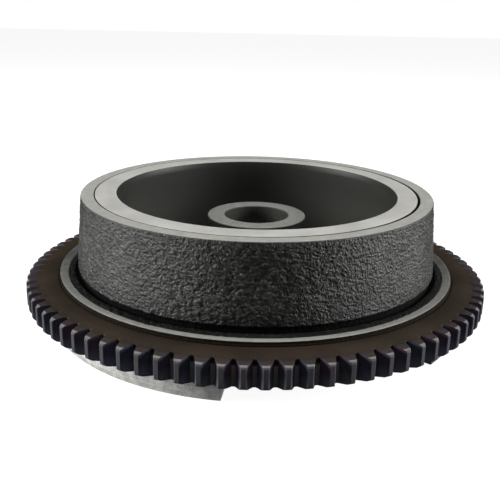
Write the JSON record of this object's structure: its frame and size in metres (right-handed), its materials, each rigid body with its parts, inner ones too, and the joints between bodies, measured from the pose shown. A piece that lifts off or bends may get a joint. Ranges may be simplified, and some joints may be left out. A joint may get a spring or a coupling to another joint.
{
  "type": "alternator flywheel",
  "caption": "Cast-iron engine flywheel: an open cup lined with alternator magnets, on a flange that carries a toothed starter ring gear.",
  "frame": {"origin": "on the crankshaft axis, at the lowest face of the casting (the closed side)", "axes": "+Z along the crankshaft axis out of the open side of the cup; -Y towards the picture's viewer, with the shoulder window at the front right; +X to the viewer's right"},
  "size_m": [0.215, 0.215, 0.058],
  "materials": {
    "cast_iron_body": "dark as-cast with bright machined faces",
    "gear_steel": "brown heat oxide, satin",
    "end_ring_metal": "fine turned",
    "magnet_black": "matt black coating",
    "liner_black": "matt black coating",
    "moulded_plastic": "matt moulded"
  },
  "bodies": {
    "root": {"flywheel_casting": "cast_iron_body", "ring_gear": "gear_steel", "magnet_end_ring": "end_ring_metal", "magnet_base_ring": "moulded_plastic", "magnet_liner": "liner_black", "magnet_01": "magnet_black", "magnet_02": "magnet_black", "magnet_03": "magnet_black", "magnet_04": "magnet_black", "magnet_05": "magnet_black", "magnet_06": "magnet_black", "magnet_07": "magnet_black", "magnet_08": "magnet_black", "magnet_09": "magnet_black", "magnet_10": "magnet_black", "magnet_11": "magnet_black", "magnet_12": "magnet_black", "spacer_01": "moulded_plastic", "spacer_02": "moulded_plastic", "spacer_03": "moulded_plastic", "spacer_04": "moulded_plastic", "spacer_05": "moulded_plastic", "spacer_06": "moulded_plastic", "spacer_07": "moulded_plastic", "spacer_08": "moulded_plastic", "spacer_09": "moulded_plastic", "spacer_10": "moulded_plastic", "spacer_11": "moulded_plastic", "spacer_12": "moulded_plastic"}
  },
  "joints": []
}
